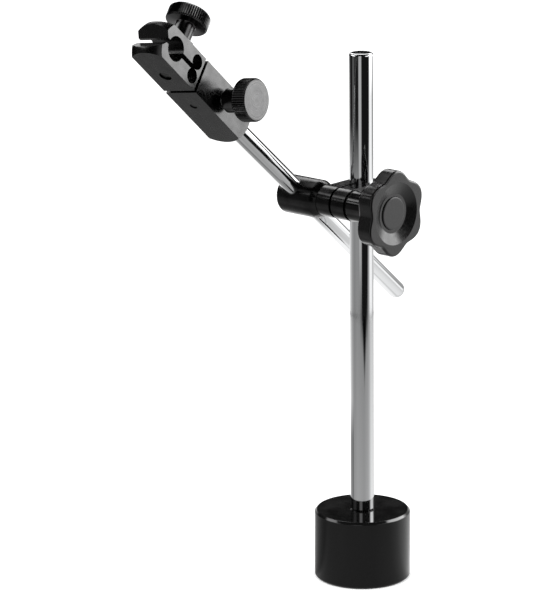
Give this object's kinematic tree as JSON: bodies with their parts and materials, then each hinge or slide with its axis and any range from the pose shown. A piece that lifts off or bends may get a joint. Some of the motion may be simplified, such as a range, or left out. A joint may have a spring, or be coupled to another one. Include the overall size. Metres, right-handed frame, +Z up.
{
  "type": "magnetic gauge stand",
  "caption": "Small gauge stand: round magnetic foot, chromed column, cross clamp with a star knob, and a tilting arm whose split holder clamps a gauge stem and has a fine adjusting screw.",
  "frame": {"origin": "centre of the magnetic foot's underside, on the surface that the stand holds to", "axes": "+Z up the column; +X along the cross clamp's bolt towards the star knob; the arm hangs in a plane square to X, with its holder towards -Y"},
  "size_m": [0.0506, 0.1263, 0.2044],
  "materials": {
    "foot_black": "gloss",
    "magnet_grey": "matte",
    "pole_steel": "ground",
    "spacer_brass": "satin",
    "column_chrome": "polished",
    "arm_chrome": "polished",
    "clamp_black": "semi-gloss black",
    "sleeve_black": "semi-gloss black",
    "bolt_steel": "turned",
    "washer_steel": "satin",
    "bush_steel": "polished",
    "knob_plastic": "satin",
    "cap_plastic": "satin",
    "holder_black": "black anodised, satin",
    "jaws_black": "black anodised, satin",
    "set_screw_black": "blackened",
    "pin_steel": "blackened",
    "spring_steel": "drawn wire",
    "screw_black": "blackened",
    "clamp_screw_black": "blackened",
    "fine_knob_black": "blackened, knurled",
    "clamp_knob_black": "blackened, knurled",
    "clamp_washer_black": "blackened"
  },
  "bodies": {
    "foot": {"foot_housing": "foot_black", "holding_magnet": "magnet_grey", "pole_piece": "pole_steel", "spacer_ring": "spacer_brass"},
    "column": {"column": "column_chrome"},
    "clamp": {"column_clamp": "clamp_black", "thrust_washer": "washer_steel"},
    "eye": {"eye_bolt": "bolt_steel", "arm_sleeve": "sleeve_black"},
    "star": {"star_knob": "knob_plastic", "knob_bush": "bush_steel", "knob_cap": "cap_plastic"},
    "arm": {"gauge_arm": "arm_chrome"},
    "holder": {"holder_body": "holder_black", "arm_set_screw": "set_screw_black", "pivot_pin": "pin_steel", "return_spring": "spring_steel"},
    "jaws": {"gauge_jaws": "jaws_black", "clamp_washer": "clamp_washer_black"},
    "fine_thumb": {"fine_screw": "screw_black", "fine_knob": "fine_knob_black"},
    "clamp_thumb": {"clamp_screw": "clamp_screw_black", "clamp_knob": "clamp_knob_black"}
  },
  "joints": [
    {"name": "clamp_swing", "type": "hinge", "parent": "foot", "child": "column", "pos_m": [0, 0, 0.0235], "axis": [0, 0, 1], "continuous": true},
    {"name": "clamp_height", "type": "slide", "parent": "column", "child": "clamp", "axis": [0, 0, 1], "range_m": [-0.04, 0.042]},
    {"name": "arm_tilt", "type": "hinge", "parent": "clamp", "child": "eye", "pos_m": [0, -0.011, 0.1319], "axis": [1, 0, 0], "range_deg": [-25, 40]},
    {"name": "star_knob_turn", "type": "hinge", "parent": "eye", "child": "star", "pos_m": [0.02, -0.011, 0.1319], "axis": [1, 0, 0], "range_deg": [0, 360]},
    {"name": "arm_reach", "type": "slide", "parent": "eye", "child": "arm", "axis": [0, -0.7536, 0.6574], "range_m": [-0.015, 0.045]},
    {"name": "holder_roll", "type": "hinge", "parent": "arm", "child": "holder", "pos_m": [-0.0163, -0.04868, 0.16477], "axis": [0, -0.7536, 0.6574], "range_deg": [-90, 90]},
    {"name": "fine_knob_turn", "type": "hinge", "parent": "holder", "child": "fine_thumb", "pos_m": [-0.00156, -0.054, 0.17311], "axis": [0.9866, 0.1074, 0.1231], "range_deg": [-180, 180]},
    {"name": "gauge_tilt", "type": "hinge", "parent": "holder", "child": "jaws", "pos_m": [-0.01638, -0.05988, 0.17519], "axis": [-0.1633, 0.6681, 0.726], "range_deg": [-2.5, 2.5], "deforming": ["return_spring"]},
    {"name": "clamp_knob_turn", "type": "hinge", "parent": "jaws", "child": "clamp_thumb", "pos_m": [-0.01841, -0.06453, 0.19554], "axis": [-0.1633, 0.6681, 0.726], "range_deg": [0, 360]}
  ],
  "couplings": [
    {"joint": "gauge_tilt", "follows": "fine_knob_turn", "ratio": -0.01372}
  ]
}
